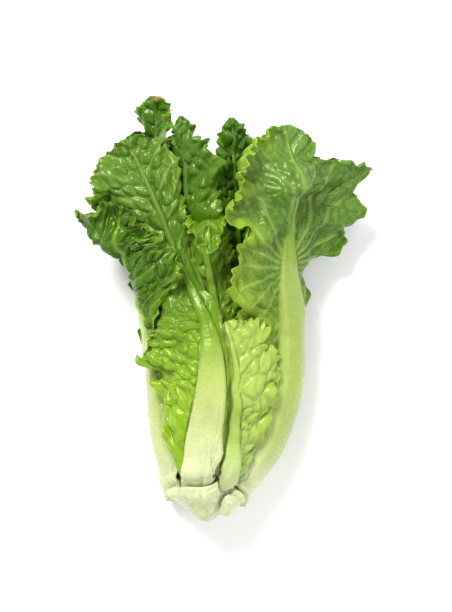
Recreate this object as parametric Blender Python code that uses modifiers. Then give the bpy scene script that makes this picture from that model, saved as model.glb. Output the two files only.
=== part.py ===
"""A romaine lettuce heart, lying on its back: a trimmed stem with loose leaves round it.

+Y runs along the head from the trimmed butt to the leaf tips, +Z is up, and +X is to the right
for somebody who looks down on it with the tips away from them. The origin is the middle of the
object's box, on the surface that it lies on. Shapes are worked out in millimetres.
"""

import math
from dataclasses import dataclass

import bmesh
import bpy
import numpy as np
from mathutils import Vector
from mathutils.bvhtree import BVHTree

MM = 0.001

# Driving dimensions, in millimetres
STEM_HEIGHT = 26.0
STEM_RADIUS = 18.0
STEM_LENGTH = 74.0
STEM_OUTLINE = [  # distance from the butt, radius
    (0, 4), (4, 9), (10, 14.5), (17, STEM_RADIUS), (26, 15.5), (40, 10.5), (58, 6.5), (STEM_LENGTH, 2),
]
BLADE = 0.8
FULL_WING = 28.0
TIP_SHARE = 0.16
RIB_TAPER = (1.0, 0.95, 0.85, 0.65, 0.36, 0.18, 0.08)  # the rib's size from base to tip
FLATTENED = 0.2  # the share of a leaf's thickness that is pressed flat where it lies on the table
GAP = 0.45
FACET_ROOM = 1.05
BELLY = (4.0, 31.0)
HEART_LEAVES = 3
CUT_BASES = [  # name, the way it faces, how far it leans, where it ends, half its spread, seed
    ("front_cut_base", 108, 20, 24, 16, 31),
    ("right_cut_base", 38, -18, 18, 9, 32),
]
CUT_BASE_SHAPE = (0.35, 0.6, 0.8, 0.93, 1.0, 1.02, 1.0)  # its width from the butt upwards

# The settling of the leaves into one head
SETTLE_STEPS = 120
FREE_STEPS = 64
CLOSING_SHARE = 0.7
PULL = 0.12
OPEN_BY = 0.12
DEEPEST = 8.0
MOST_PUSH = 1.6
UNTANGLE = 0.2
SKIN_ROOM = 0.06

# The finish of the leaves, from the stem to the tips
PALE = (0.78, 0.84, 0.55)
BRIGHT = (0.36, 0.58, 0.10)
DEEP = (0.10, 0.27, 0.05)
LEAF_ROUGHNESS = 0.42
STEM_ROUGHNESS = 0.5


@dataclass
class Leaf:
    """A leaf by seven stations along its midrib, base first. Widths and turns are for each wing."""

    name: str
    face: float  # the way that the back of its base faces, in degrees from +X towards +Z
    path: list  # the midrib
    left: list  # the width of the left wing, seen from the leaf's back with its tip up
    right: list
    left_turn: list  # degrees that the wing has turned inwards at its margin
    right_turn: list
    twist: tuple = (0.0, 0.0)  # degrees that the leaf turns about its midrib, halfway and at its tip
    curl: tuple = (0.0, 0.0)  # degrees that the left and right margins curl further inwards
    layer: tuple = (0.0, 0.0)  # how far out it lies in the head, at its base and its tip
    rib: float = 5.5  # thickness of the midrib near its base
    rib_width: float = 13.0  # half its width there
    ruffle: float = 4.0  # height of the waves along its margins
    waves: float = 8.0
    ragged: float = 0.12  # how uneven its outline is
    notches: tuple = ()  # wing (-1 left, 1 right), place along the leaf, depth and reach of each notch
    cut: bool = False  # whether the leaf is cut straight across, with its full thickness there
    seed: int = 0
    rows: int = 36
    columns: int = 10
    colour: tuple = BRIGHT


def curve_through(stations, u):
    """A smooth curve through evenly spaced stations, read at u from 0 to 1."""
    p = np.asarray(stations, float)
    p = p.reshape(len(p), -1)
    p = np.vstack([2 * p[0] - p[1], p, 2 * p[-1] - p[-2]])
    s = np.clip(np.asarray(u, float), 0, 1) * (len(p) - 3)
    i = np.minimum(s.astype(int), len(p) - 4)
    t = (s - i)[:, None]
    a, b, c, d = p[i], p[i + 1], p[i + 2], p[i + 3]
    made = b + 0.5 * t * (c - a + t * (2 * a - 5 * b + 4 * c - d + t * (3 * (b - c) + d - a)))
    return made[:, 0] if made.shape[1] == 1 else made


def unit(vectors):
    return vectors / np.maximum(np.linalg.norm(vectors, axis=-1, keepdims=True), 1e-9)


def columns_at(u, fine, values):
    """Each column of values, given at fine, read at u."""
    return np.column_stack([np.interp(u, fine, column) for column in values.T])


def midrib_frames(leaf, u):
    """Points of the midrib, with its direction, the way its back faces and the way its right wing goes."""
    fine = np.linspace(0, 1, 161)
    points = curve_through(leaf.path, fine)
    along = unit(np.gradient(points, axis=0))
    angle = math.radians(leaf.face)
    back = np.array([math.cos(angle), 0.0, math.sin(angle)])
    backs = []
    for direction in along:
        back = unit(back - direction * (back @ direction))
        backs.append(back)
    twist = np.radians(curve_through([0.0, *leaf.twist], fine))[:, None]
    backs = np.array(backs)
    backs = backs * np.cos(twist) + np.cross(backs, along) * np.sin(twist)
    points = columns_at(u, fine, points)
    along = unit(columns_at(u, fine, along))
    backs = unit(columns_at(u, fine, backs))
    return points, along, backs, np.cross(along, backs)


def ruffle_height(leaf, side, u, share, width):
    """Waves that grow towards the margin, lower where the wing is narrow."""
    draw = np.random.default_rng(leaf.seed * 2 + (side > 0))
    start = draw.uniform(0, 2 * math.pi, 4)
    phase = 2 * math.pi * leaf.waves * u + start[0] + 0.9 * np.sin(2 * math.pi * 2.3 * u + start[1])
    wave = np.sin(phase) + 0.35 * np.sin(1.9 * phase + start[2])
    slow = 0.8 * np.sin(2 * math.pi * 2.1 * u + start[3])
    grown = np.clip((u - 0.12) / 0.3, 0, 1) * np.clip(width / FULL_WING, 0, 1)
    return leaf.ruffle * grown * (share**2.2 * wave + share**1.3 * slow)


def wing_width(leaf, side, u):
    """The wing's width: uneven, and closed round the tip, unless the leaf is cut."""
    width = np.maximum(curve_through(leaf.right if side > 0 else leaf.left, u), 1.0)
    if leaf.cut:
        return width
    draw = np.random.default_rng(leaf.seed * 2 + 100 + (side > 0))
    start = draw.uniform(0, 2 * math.pi, 2)
    uneven = 0.6 * np.sin(2 * math.pi * 5.3 * u + start[0]) + 0.4 * np.sin(2 * math.pi * 9.1 * u + start[1])
    width = width * (1 + leaf.ragged * uneven * np.clip((u - 0.15) / 0.3, 0, 1))
    for notched, place, depth, reach in leaf.notches:
        if notched == side:
            width = width * (1 - depth * np.exp(-(((u - place) / reach) ** 2)))
    past = np.clip((u - (1 - TIP_SHARE)) / TIP_SHARE, 0, 1)
    return width * np.sqrt(np.maximum(1 - past**2, 0.03))


def thickness(leaf, u, across):
    """The leaf's thickness: a rib that thins towards the tip, between thin wings."""
    taper = np.full_like(u, 0.8) if leaf.cut else curve_through(RIB_TAPER, u)
    width = 1.5 + leaf.rib_width * taper
    return BLADE + (leaf.rib - BLADE) * taper * np.exp(-((across / width) ** 2))


def leaf_surface(leaf):
    """Grid points of the middle of the leaf, (rows + 1) x (columns + 1) x 3, and half its thickness there."""
    u = np.linspace(0, 1, leaf.rows + 1)
    points, along, back, right = midrib_frames(leaf, u)
    shares = np.linspace(-1, 1, leaf.columns + 1)
    grid = np.zeros((len(u), len(shares), 3))
    half = np.zeros(grid.shape[:2])
    for column, share in enumerate(shares):
        side = 1.0 if share > 0 else -1.0
        width = wing_width(leaf, side, u)
        turn = np.radians(curve_through(leaf.right_turn if side > 0 else leaf.left_turn, u))
        curl = math.radians(leaf.curl[side > 0]) * np.clip((u - 0.1) / 0.2, 0, 1)
        far = abs(share)
        between = (np.arange(16)[:, None] + 0.5) / 16 * far
        turned = turn * between + curl * between**5
        out = np.cos(turned).mean(axis=0) * far * width
        inwards = np.sin(turned).mean(axis=0) * far * width
        angle = (turn * far + curl * far**5)[:, None]
        normal = back * np.cos(angle) + side * right * np.sin(angle)
        thick = thickness(leaf, u, far * width)
        lift = (thick - BLADE) / 2 + ruffle_height(leaf, side, u, far, width)
        grid[:, column] = points + side * out[:, None] * right - inwards[:, None] * back
        grid[:, column] += normal * lift[:, None]
        half[:, column] = thick / 2
    return grid, half


def grid_triangles(rows, columns):
    """Corner numbers of two triangles for each cell of a grid."""
    triangles = []
    for r in range(rows):
        for c in range(columns):
            a = r * (columns + 1) + c
            b, d = a + 1, a + columns + 1
            e = d + 1
            triangles += [(a, b, e), (a, e, d)]
    return triangles


def neighbour_mean(values):
    """Each grid value's mean with its neighbours."""
    padded = np.pad(values, ((1, 1), (1, 1), (0, 0)), mode="edge")
    near = padded[:-2, 1:-1] + padded[2:, 1:-1] + padded[1:-1, :-2] + padded[1:-1, 2:]
    return 0.5 * values + 0.125 * near


def stem_radius(y):
    """The stem's radius at a distance from the butt."""
    return np.interp(y, [p[0] for p in STEM_OUTLINE], [p[1] for p in STEM_OUTLINE])


def opened(points, layer):
    """Points moved away from the head's middle line, further for outer layers."""
    middle = np.array([BELLY[0], 0.0, BELLY[1]])
    out = points - middle
    out[..., 1] = 0
    return points + out * (OPEN_BY * layer)[:, None, None]


def settle(leaves):
    """Closes the opened head step by step. Leaves that come too near push each other apart."""
    made = [leaf_surface(leaf) for leaf in leaves]
    wanted = [grid for grid, _ in made]
    halves = [half for _, half in made]
    faces = [grid_triangles(leaf.rows, leaf.columns) for leaf in leaves]
    layers = [np.linspace(leaf.layer[0], leaf.layer[1], leaf.rows + 1) for leaf in leaves]
    starts = [opened(grid, layer) for grid, layer in zip(wanted, layers)]
    orders = [np.repeat(layer, leaf.columns + 1) for layer, leaf in zip(layers, leaves)]
    grids = [grid.copy() for grid in starts]
    for step in range(SETTLE_STEPS + FREE_STEPS):
        closing = min(1.0, (step + 1) / (SETTLE_STEPS * CLOSING_SHARE))
        if step < SETTLE_STEPS:
            for k, grid in enumerate(grids):
                goal = starts[k] + (wanted[k] - starts[k]) * closing
                grids[k] = goal + neighbour_mean(grid - goal) * (1 - PULL)
        smooth = step < SETTLE_STEPS + FREE_STEPS // 4
        part_leaves(grids, halves, faces, orders, smooth)
        if step >= SETTLE_STEPS:
            untangle(grids, halves, faces, orders)
        for grid, half in zip(grids, halves):
            clear_of_stem_and_table(grid, half)
    return grids, halves


def backs_of(grid):
    """The way that the leaf's back faces at each grid point."""
    return unit(np.cross(np.gradient(grid, axis=1), np.gradient(grid, axis=0))).reshape(-1, 3)


def part_leaves(grids, halves, faces, orders, smooth):
    """Pushes apart leaves that are nearer than their thickness and a gap, and puts crossed ones in order."""
    flat = [grid.reshape(-1, 3) for grid in grids]
    thick = [half.ravel() for half in halves]
    trees = [BVHTree.FromPolygons(points.tolist(), tris) for points, tris in zip(flat, faces)]
    backs = [backs_of(grid) for grid in grids]
    lows = [points.min(0) for points in flat]
    highs = [points.max(0) for points in flat]
    pushes = [np.zeros_like(points) for points in flat]
    for a, points in enumerate(flat):
        for b, tree in enumerate(trees):
            if a == b:
                continue
            near = ((points > lows[b] - DEEPEST) & (points < highs[b] + DEEPEST)).all(1)
            for i in np.flatnonzero(near):
                place, normal, face, distance = tree.find_nearest(points[i].tolist(), DEEPEST)
                if place is None or distance < 1e-6:
                    continue
                corners = list(faces[b][face])
                need = thick[a][i] + thick[b][corners].mean() + GAP + FACET_ROOM
                away = points[i] - np.array(place)
                back = backs[b][corners].mean(0)
                side = math.copysign(1.0, orders[a][i] - orders[b][corners[0]])
                depth = side * float(away @ back)
                crossed = depth < -0.5 * distance and backs[a][i] @ back > -0.4
                if crossed:
                    push = back * (side * min(need - depth, MOST_PUSH) * 0.5)
                elif distance < need:
                    push = away * ((need - distance) / distance * 0.5)
                else:
                    continue
                strongest(pushes[a], i, push)
                for corner in corners:
                    strongest(pushes[b], corner, -push)
    for k, grid in enumerate(grids):
        push = pushes[k].reshape(grid.shape)
        grid += 0.5 * (push + neighbour_mean(push)) if smooth else push


def skins_of(grid, half, triangles):
    """Both faces of a leaf at its grid points, and their triangles."""
    lift = backs_of(grid) * (half.reshape(-1, 1) + SKIN_ROOM)
    points = grid.reshape(-1, 3)
    skins = np.vstack([points + lift, points - lift])
    below = [tuple(corner + len(points) for corner in triangle) for triangle in triangles]
    return skins, triangles + below


def untangle(grids, halves, faces, orders):
    """Moves faces that still cross back to their own side, and irons out a leaf that crosses itself."""
    flat = [grid.reshape(-1, 3) for grid in grids]
    backs = [backs_of(grid) for grid in grids]
    skins = [skins_of(*leaf) for leaf in zip(grids, halves, faces)]
    trees = [BVHTree.FromPolygons(points.tolist(), tris) for points, tris in skins]
    for a, tree in enumerate(trees):
        for b in range(a):
            for face_a, face_b in tree.overlap(trees[b]):
                corners_a = list(faces[a][face_a % len(faces[a])])
                corners_b = list(faces[b][face_b % len(faces[b])])
                side = math.copysign(UNTANGLE, orders[a][corners_a[0]] - orders[b][corners_b[0]])
                push = backs[b][corners_b].mean(0) * side
                flat[a][corners_a] += push
                flat[b][corners_b] -= push
        folded = np.zeros(len(flat[a]))
        for first, second in tree.overlap(tree):
            corners_a, corners_b = skins[a][1][first], skins[a][1][second]
            if not set(corners_a) & set(corners_b):
                folded[[corner % len(folded) for corner in corners_a + corners_b]] = 1.0
        if folded.any():
            share = neighbour_mean(neighbour_mean(folded.reshape(grids[a].shape[:2] + (1,))))
            ironed = neighbour_mean(grids[a])
            grids[a] += (ironed - grids[a]) * np.clip(4 * share, 0, 1)


def strongest(pushes, i, push):
    """Adds a push to a point, without adding twice what already moves it that way."""
    size = math.sqrt(push @ push)
    already = pushes[i] @ push / size if size > 1e-9 else 0.0
    if already < size:
        pushes[i] += push * ((size - max(already, 0.0)) / max(size, 1e-9))


def clear_of_stem_and_table(grid, half):
    """Keeps a leaf outside the stem and above the surface that the head lies on."""
    out_x, out_z = grid[..., 0], grid[..., 2] - STEM_HEIGHT
    distance = np.maximum(np.hypot(out_x, out_z), 1e-6)
    need = stem_radius(grid[..., 1]) + half + GAP + FACET_ROOM / 2
    short = (distance < need) & (grid[..., 1] > 0) & (grid[..., 1] < STEM_LENGTH + 2)
    scale = np.where(short, need / distance, 1.0)
    grid[..., 0] = out_x * scale
    grid[..., 2] = STEM_HEIGHT + out_z * scale
    grid[..., 2] = np.maximum(grid[..., 2], half * (1 - FLATTENED))


LEAVES = [
    Leaf(
        "left_back_leaf", 238,
        path=[(-9, 16, 11), (-20, 45, 4.5), (-20, 85, 2), (-21, 125, 2),
              (-27, 165, 5), (-37, 200, 14), (-44, 228, 27)],
        left=[11, 18, 24, 26, 30, 32, 26], right=[12, 15, 17, 20, 25, 30, 26],
        left_turn=[50, 45, 35, 25, 12, 0, -10], right_turn=[50, 55, 50, 40, 25, 10, 0],
        layer=(4, 4), rows=28, columns=10, seed=1, ruffle=4.0, waves=7,
    ),
    Leaf(
        "right_back_leaf", 302,
        path=[(9, 13, 11), (24, 45, 4.5), (27, 85, 2), (27, 125, 2),
              (30, 165, 5), (36, 200, 14), (38, 224, 28)],
        left=[12, 16, 20, 22, 26, 30, 26], right=[14, 20, 26, 30, 34, 34, 26],
        left_turn=[50, 55, 50, 40, 25, 10, 0], right_turn=[50, 45, 35, 25, 12, 5, 0],
        layer=(4.6, 4.6), rows=28, columns=10, seed=2, ruffle=4.0, waves=7,
    ),
    Leaf(
        "left_leaf", 183,
        path=[(-17, 16, 26), (-27, 44, 26), (-31, 80, 27), (-35, 115, 30),
              (-42, 146, 38), (-49, 172, 50), (-48, 184, 66)],
        left=[13, 18, 22, 24, 27, 26, 24], right=[13, 23, 26, 15, 38, 34, 26],
        left_turn=[55, 50, 40, 30, 20, 0, -20], right_turn=[55, 55, 55, 50, 50, 30, 0],
        twist=(-18, -54), layer=(3, 3.4), seed=3, ruffle=4.2, waves=8, rows=40,
    ),
    Leaf(
        "right_leaf", 12,
        path=[(17, 16, 27), (38, 42, 26), (49, 78, 29), (51, 115, 34),
              (47, 150, 43), (48, 187, 51), (45, 231, 60)],
        left=[14, 24, 34, 42, 44, 46, 40], right=[14, 18, 20, 22, 33, 58, 22],
        left_turn=[60, 70, 78, 72, 40, 5, -30], right_turn=[55, 55, 50, 40, 20, 0, -20],
        twist=(20, 58), curl=(-110, 0), layer=(2.4, 2.4), rib=6.5, rib_width=15, seed=4, ruffle=4.4, waves=8,
        rows=40, notches=((1, 0.93, 0.5, 0.025),),
    ),
    Leaf(
        "front_leaf", 92,
        path=[(-2, 18, 46), (-1, 50, 55), (3, 84, 61), (0, 116, 58),
              (-14, 147, 54), (-29, 186, 60), (-46, 223, 60)],
        left=[12, 25, 38, 43, 28, 42, 40], right=[10, 12, 12, 9, 11, 20, 30],
        left_turn=[45, 40, 42, 38, 20, 0, -20], right_turn=[65, 70, 70, 55, 40, 10, -20],
        twist=(0, 6), layer=(4, 2.6), rib=6.5, rib_width=10, seed=5, ruffle=4.2, waves=8, rows=42,
    ),
    Leaf(
        "middle_right_leaf", 66,
        path=[(8, 20, 42), (13, 40, 48), (17, 58, 53), (18, 76, 57),
              (17, 92, 58), (14, 106, 58), (10, 118, 56)],
        left=[9, 10, 11, 12, 12, 12, 11], right=[9, 17, 22, 28, 30, 26, 20],
        left_turn=[40, 50, 60, 60, 50, 40, 30], right_turn=[40, 40, 40, 35, 30, 25, 20],
        layer=(3, 3), rib=4, rib_width=8, rows=24, columns=10, seed=6, ruffle=2.6, waves=5,
    ),
    Leaf(
        "inner_front_leaf", 84,
        path=[(1, 26, 42), (4, 60, 47), (6, 95, 49), (4, 130, 51),
              (0, 158, 58), (0, 175, 69), (1, 156, 79)],
        left=[9, 14, 18, 19, 13, 12, 12], right=[9, 14, 18, 19, 15, 13, 12],
        left_turn=[50, 50, 45, 40, 30, 10, 0], right_turn=[50, 50, 45, 40, 30, 10, 0],
        layer=(1.6, 1.4), seed=7, ruffle=3.8, waves=7, rows=36, columns=10,
    ),
    Leaf(
        "tall_left_leaf", 205,
        path=[(-12, 24, 20), (-22, 60, 18), (-24, 100, 18), (-24, 140, 20),
              (-26, 180, 25), (-28, 218, 34), (-30, 249, 44)],
        left=[9, 13, 18, 22, 25, 22, 20], right=[9, 13, 18, 22, 25, 24, 24],
        left_turn=[50, 50, 45, 40, 30, 15, 10], right_turn=[50, 50, 45, 40, 30, 25, 20],
        twist=(-20, -70), layer=(1.6, 1.6), seed=8, ruffle=4.5, waves=7, rows=30, columns=8,
    ),
    Leaf(
        "upper_left_leaf", 120,
        path=[(-6, 28, 37), (-11, 60, 42), (-12, 100, 43), (-12, 140, 45),
              (-13, 175, 52), (-14, 208, 60), (-15, 236, 62)],
        left=[9, 14, 18, 21, 22, 20, 12], right=[9, 14, 18, 21, 24, 22, 13],
        left_turn=[50, 50, 45, 40, 30, 10, -10], right_turn=[50, 50, 45, 40, 30, 10, -10],
        layer=(1.0, 1.0), seed=9, ruffle=4.4, waves=7, rows=30, columns=8,
    ),
    Leaf(
        "upper_right_leaf", 48,
        path=[(7, 30, 33), (15, 62, 38), (20, 100, 40), (20, 140, 42),
              (18, 175, 46), (16, 208, 50), (15, 236, 50)],
        left=[9, 14, 18, 20, 20, 15, 11], right=[9, 14, 18, 22, 26, 22, 12],
        left_turn=[50, 50, 45, 40, 30, 20, 20], right_turn=[50, 50, 45, 40, 30, 20, 20],
        layer=(0.8, 0.8), seed=10, ruffle=4.5, waves=7, rows=30, columns=8,
    ),
    Leaf(
        "lower_right_leaf", 335,
        path=[(13, 26, 21), (26, 60, 20), (31, 100, 21), (34, 140, 24),
              (40, 175, 29), (48, 205, 35), (54, 224, 42)],
        left=[9, 14, 20, 26, 30, 30, 26], right=[9, 14, 20, 26, 30, 30, 26],
        left_turn=[50, 50, 45, 40, 30, 15, 10], right_turn=[50, 50, 45, 40, 30, 15, 10],
        layer=(1.8, 1.8), seed=11, ruffle=3.6, waves=7, rows=26, columns=8,
    ),
]


def cut_base(name, face, lean, height, spread, seed):
    """What is left at the butt of an outer leaf that was pulled off or trimmed away."""
    path = []
    for along in np.linspace(0, 1, 7):
        y = 5 + (height - 5) * along
        angle = math.radians(face + lean * (along - 0.5))
        out = STEM_RADIUS + 2.5 + 1.5 * along - 5.5 * (1 - along) ** 2
        path.append((out * math.cos(angle), y, STEM_HEIGHT + out * math.sin(angle)))
    widths = [spread * share for share in CUT_BASE_SHAPE]
    return Leaf(
        name, face, path=path, left=widths, right=widths, left_turn=[50] * 7, right_turn=[50] * 7,
        layer=(5.5, 5.5), rib=3.0, rib_width=12, ruffle=0.5, waves=1, cut=True, seed=seed,
        rows=8, columns=8,
    )


def heart_leaf(number):
    """One of the small pale leaves that are folded together in the middle."""
    turn = 40 + 137.5 * number
    angle = math.radians(turn)
    base = 36 + 4 * number
    tall = 196 - 12 * number
    path = []
    for along in np.linspace(0, 1, 7):
        y = base + (tall - base) * along
        out = float(stem_radius(y)) + 2.5 + 9 * math.sin(math.pi * min(along * 0.8, 0.5)) - 1.0 * number
        path.append((out * math.cos(angle) + 2 * along, y, STEM_HEIGHT + 6 * along + out * math.sin(angle)))
    width = [6, 8, 11, 14, 17, 19, 17]
    turns = [60, 70, 75, 70, 60, 50, 40]
    return Leaf(
        f"heart_leaf_{number + 1}", turn, path=path, left=width, right=width, left_turn=turns,
        right_turn=turns, layer=(0.2 - 0.1 * number, 0.2 - 0.1 * number), rib=3.5, rib_width=7,
        ruffle=2.2, waves=6, seed=20 + number, rows=14, columns=8,
    )


def all_leaves():
    return LEAVES + [cut_base(*size) for size in CUT_BASES] + [heart_leaf(n) for n in range(HEART_LEAVES)]


def material(name, colour, roughness):
    made = bpy.data.materials.new(name)
    made.use_nodes = True
    shader = made.node_tree.nodes["Principled BSDF"]
    shader.inputs["Base Color"].default_value = (*colour, 1.0)
    shader.inputs["Roughness"].default_value = roughness
    shader.inputs["Metallic"].default_value = 0.0
    return made


def leaf_object(leaf, grid, half, collection):
    """A leaf as a sheet with the thickness of its rib and wings."""
    sheet = bmesh.new()
    bmesh.ops.create_grid(sheet, x_segments=leaf.columns, y_segments=leaf.rows, size=1)
    sheet.verts.ensure_lookup_table()
    for vertex, place in zip(sheet.verts, grid.reshape(-1, 3)):
        vertex.co = Vector(place) * MM
    bmesh.ops.triangulate(sheet, faces=sheet.faces)
    mesh = bpy.data.meshes.new(leaf.name)
    sheet.to_mesh(mesh)
    sheet.free()
    mesh.materials.append(material(leaf.name, leaf.colour, LEAF_ROUGHNESS))
    made = bpy.data.objects.new(leaf.name, mesh)
    collection.objects.link(made)
    thickest = float(half.max()) * 2
    group = made.vertex_groups.new(name="thickness")
    for i, value in enumerate(half.ravel()):
        group.add([i], float(value) * 2 / thickest, "REPLACE")
    shell = made.modifiers.new("thickness", "SOLIDIFY")
    shell.thickness = thickest * MM
    shell.offset = 0
    shell.vertex_group = group.name
    return made


def stem(collection):
    """The trimmed stem, turned about the head's axis."""
    mesh = bpy.data.meshes.new("stem")
    made = bpy.data.objects.new("stem", mesh)
    collection.objects.link(made)
    line = bmesh.new()
    points = [(0.0, STEM_LENGTH + 1.0)]
    points += [(radius, y) for y, radius in reversed(STEM_OUTLINE)]
    points += [(0.0, -0.5)]
    vertices = [line.verts.new((radius * MM, y * MM, 0)) for radius, y in points]
    for first, second in zip(vertices, vertices[1:]):
        line.edges.new((first, second))
    line.to_mesh(mesh)
    line.free()
    mesh.materials.append(material("stem", PALE, STEM_ROUGHNESS))
    screw = made.modifiers.new("turned", "SCREW")
    screw.axis = "Y"
    screw.steps = 24
    screw.render_steps = 24
    screw.use_merge_vertices = True
    screw.merge_threshold = 0.00001
    made.location = (0, 0, STEM_HEIGHT * MM)
    return made


def table_cutter():
    """A block under the table top, which takes off what is pressed flat there."""
    helpers = bpy.data.collections.new("cutters")
    bpy.context.scene.collection.children.link(helpers)
    mesh = bpy.data.meshes.new("under_table")
    block = bmesh.new()
    bmesh.ops.create_cube(block, size=1)
    for vertex in block.verts:
        vertex.co = vertex.co * 0.5 + Vector((0, 0, -0.25))
    block.to_mesh(mesh)
    block.free()
    made = bpy.data.objects.new("under_table", mesh)
    helpers.objects.link(made)
    made.hide_render = True
    made.display_type = "WIRE"
    return made


def flatten_below(made, cutter):
    """Flattens the underside of a leaf that the head lies on."""
    flat = made.modifiers.new("flat_spot", "BOOLEAN")
    flat.operation = "DIFFERENCE"
    flat.solver = "EXACT"
    flat.object = cutter


def centre(objects):
    """Moves the head so that the middle of its box is over the origin."""
    bpy.context.view_layer.update()
    graph = bpy.context.evaluated_depsgraph_get()
    corners = []
    for made in objects:
        shape = made.evaluated_get(graph)
        corners += [shape.matrix_world @ Vector(corner) for corner in shape.bound_box]
    x = (min(c.x for c in corners) + max(c.x for c in corners)) / 2
    y = (min(c.y for c in corners) + max(c.y for c in corners)) / 2
    for made in objects:
        made.location.x -= x
        made.location.y -= y


def main():
    for old in list(bpy.data.objects):
        bpy.data.objects.remove(old)
    collection = bpy.data.collections.new("romaine_heart")
    bpy.context.scene.collection.children.link(collection)
    leaves = all_leaves()
    grids, halves = settle(leaves)
    objects = [leaf_object(*made, collection) for made in zip(leaves, grids, halves)]
    cutter = table_cutter()
    for made, grid, half in zip(objects, grids, halves):
        if (grid[..., 2] < half).any():
            flatten_below(made, cutter)
    objects.append(stem(collection))
    centre(objects)


if __name__ == "__main__":
    main()
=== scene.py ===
"""Finishes the romaine heart: rippled and blistered leaves, the trimmed stem and its cut leaf bases."""

import math
from dataclasses import dataclass

import bmesh
import bpy
import numpy as np
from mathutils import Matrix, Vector
from mathutils.bvhtree import BVHTree


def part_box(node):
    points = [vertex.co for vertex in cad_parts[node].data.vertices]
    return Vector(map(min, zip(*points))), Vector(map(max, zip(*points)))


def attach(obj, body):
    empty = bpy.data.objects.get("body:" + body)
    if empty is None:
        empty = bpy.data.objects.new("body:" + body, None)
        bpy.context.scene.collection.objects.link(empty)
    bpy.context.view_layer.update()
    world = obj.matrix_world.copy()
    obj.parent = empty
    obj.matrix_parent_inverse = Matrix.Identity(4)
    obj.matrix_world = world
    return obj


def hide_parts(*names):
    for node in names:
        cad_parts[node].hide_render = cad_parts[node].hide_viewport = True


bl_info = {
    "name": "Romaine Heart",
    "version": (1, 0, 0),
    "blender": (4, 5, 0),
    "location": "View3D > Sidebar > Romaine",
    "description": "Builds a trimmed head of romaine lettuce that lies on its back",
    "category": "Object",
}

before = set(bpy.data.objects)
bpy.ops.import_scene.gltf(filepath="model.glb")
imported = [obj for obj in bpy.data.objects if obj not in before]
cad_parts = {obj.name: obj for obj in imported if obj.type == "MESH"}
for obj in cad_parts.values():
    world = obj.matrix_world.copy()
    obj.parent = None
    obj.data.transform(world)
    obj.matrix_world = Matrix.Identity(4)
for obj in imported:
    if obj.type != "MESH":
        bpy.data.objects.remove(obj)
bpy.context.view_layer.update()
MM = 0.001

# The head's construction, in millimetres, as in the solids
STEM_HEIGHT = 26.0
STEM_RADIUS = 18.0
STEM_LENGTH = 74.0
STEM_OUTLINE = [  # distance from the butt, radius
    (0, 4), (4, 9), (10, 14.5), (17, STEM_RADIUS), (26, 15.5), (40, 10.5), (58, 6.5), (STEM_LENGTH, 2),
]
BLADE = 0.8
FULL_WING = 28.0
TIP_SHARE = 0.16
RIB_TAPER = (1.0, 0.95, 0.85, 0.65, 0.36, 0.18, 0.08)  # the rib's size from base to tip
FLATTENED = 0.2  # the share of a leaf's thickness that is pressed flat where it lies on the table
GAP = 0.45
FACET_ROOM = 1.05
BELLY = (4.0, 31.0)
HEART_LEAVES = 3
CUT_BASES = [  # name, the way it faces, how far it leans, where it ends, half its spread, seed
    ("front_cut_base", 108, 20, 24, 16, 31),
    ("right_cut_base", 38, -18, 18, 9, 32),
]
CUT_BASE_SHAPE = (0.35, 0.6, 0.8, 0.93, 1.0, 1.02, 1.0)  # its width from the butt upwards
SETTLE_STEPS = 120
FREE_STEPS = 64
CLOSING_SHARE = 0.7
PULL = 0.12
OPEN_BY = 0.12
DEEPEST = 8.0
MOST_PUSH = 1.6
UNTANGLE = 0.2
SKIN_ROOM = 0.06

# The finished leaves, in millimetres
FINEST = 0.12  # how far a point may always move
ROOM_SHARE = 0.5  # each leaf's share of the room between it and its neighbour
MOST_ROOM = 12.0  # no more room than this is counted
ROOM_REACH = 14.0  # how far off a neighbour is looked for
ROOM_BLUR = 5  # in steps of the fine grid
PROUDEST = 1.2  # how far a rib may rise over its solid
HALF_BLADE = 0.36  # half the thickness of a finished blade
FRILL_WAVE = 15.5
FRILL_REACH = 11  # how far in from the margin the frills go
SMALL_FRILL_WAVE = 6.3
SMALL_FRILL_REACH = 5
TOOTH_PITCH = 5.2
TOOTH_REACH = 3.2
GROOVE_PITCH = 2.1
CROSS_PITCH = 2.6
VEIN_SPACING = 15
FORK_SPACING = 11.0
FAN_TURN = 0.33  # radians from vein to vein of a fan
RIGHT_PATTERN = 3.0  # what tells the right wing's pattern from the left one's

# The finished stem, in millimetres
RING_CUTS = 5  # how many rings are put between two of the outline's
SPIN_STEPS = 96
TRIM_MIDDLE = (0, 8, 0)
KNIFE_CUTS = [  # the way each cut faces, and its distance from the middle
    ((0.55, -0.8, 0.25), 7.5),
    ((-0.6, -0.75, 0.3), 8.0),
    ((0.1, -0.85, 0.55), 9.0),
    ((0.2, -0.8, -0.55), 8.5),
    ((0.9, -0.35, 0.1), 15.5),
]

# The camera, from the photograph: millimetres for each of its pixels, and the pixel over the butt
PICTURE = (452, 612)
MM_A_PIXEL = 0.6
BUTT_PIXEL = (207, 517)

# The stage, in metres
CAMERA_HEIGHT = 1.5
FLOOR_HEIGHT = -0.0002
FLOOR_HALF = 3
LAMPS = [  # name, place, share of the lamp's power, size
    ("key", (-0.45, 0.75, 1.1), 1.0, 0.4),
    ("fill", (0.8, -0.2, 0.9), 0.3, 1.0),
]
LIT_POINT = (0, 0, 0.03)


@dataclass
class Leaf:
    """A leaf by seven stations along its midrib, base first. Widths and turns are for each wing."""

    name: str
    face: float
    path: list
    left: list
    right: list
    left_turn: list
    right_turn: list
    twist: tuple = (0.0, 0.0)
    curl: tuple = (0.0, 0.0)
    layer: tuple = (0.0, 0.0)
    rib: float = 5.5
    rib_width: float = 13.0
    ruffle: float = 4.0
    waves: float = 8.0
    ragged: float = 0.12
    notches: tuple = ()
    cut: bool = False
    seed: int = 0
    rows: int = 36
    columns: int = 10


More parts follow.
